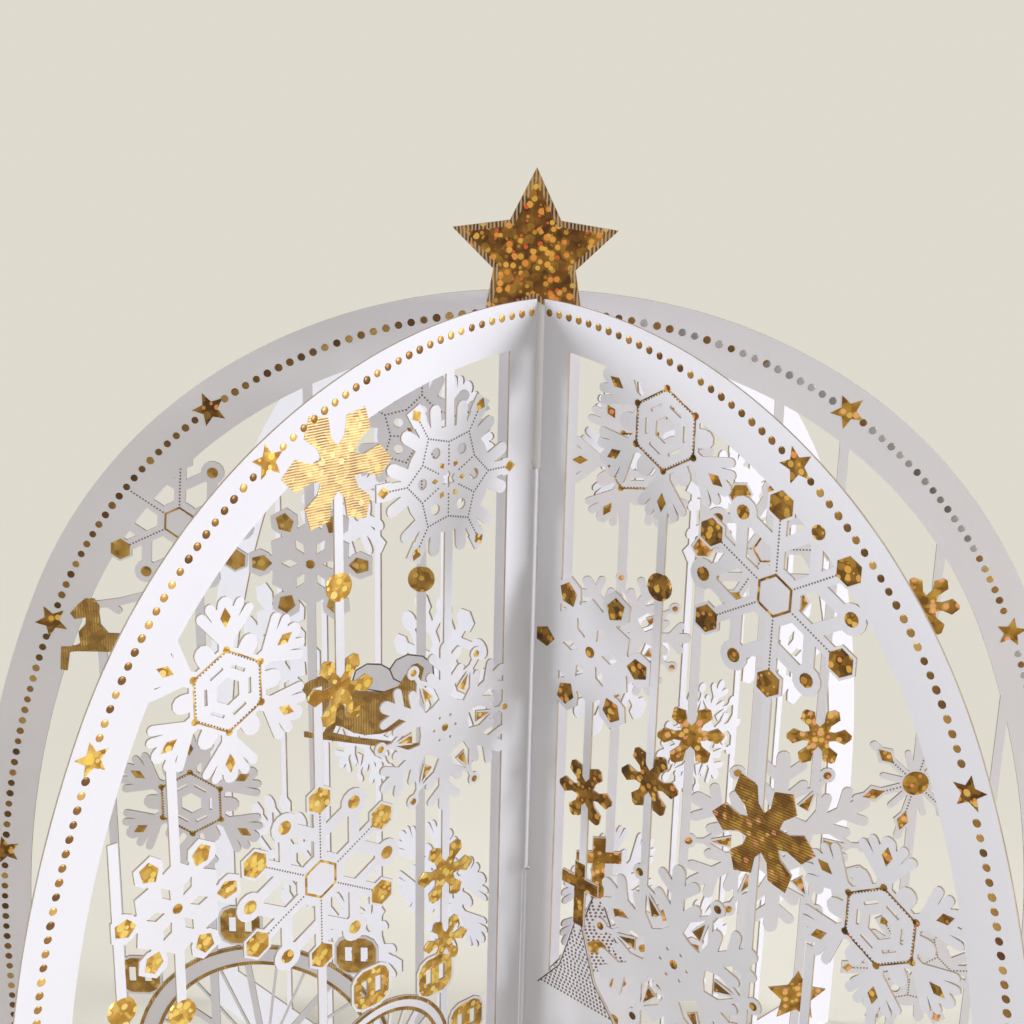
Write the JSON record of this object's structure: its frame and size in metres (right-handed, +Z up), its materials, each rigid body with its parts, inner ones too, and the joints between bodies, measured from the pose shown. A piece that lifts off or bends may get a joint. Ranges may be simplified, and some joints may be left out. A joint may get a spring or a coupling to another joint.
{
  "type": "pop up card",
  "caption": "Free-standing winter pop up card: slotted white card domes of laser-cut snowflakes round one spine, with gold foil details and a star on top.",
  "frame": {"origin": "on the spine line at the level the card stands on", "axes": "+Z up the spine to the star, +X along the side sheet, -Y towards the front leaves"},
  "size_m": [0.1522, 0.103, 0.1533],
  "materials": {
    "white_card": "matt white card, laser-cut",
    "gold_foil": "stamped gold foil with a glitter pattern, on the visible faces"
  },
  "bodies": {
    "root": {"side_sheet": "white_card", "left_front_sheet": "white_card", "right_front_sheet": "white_card"}
  },
  "joints": []
}
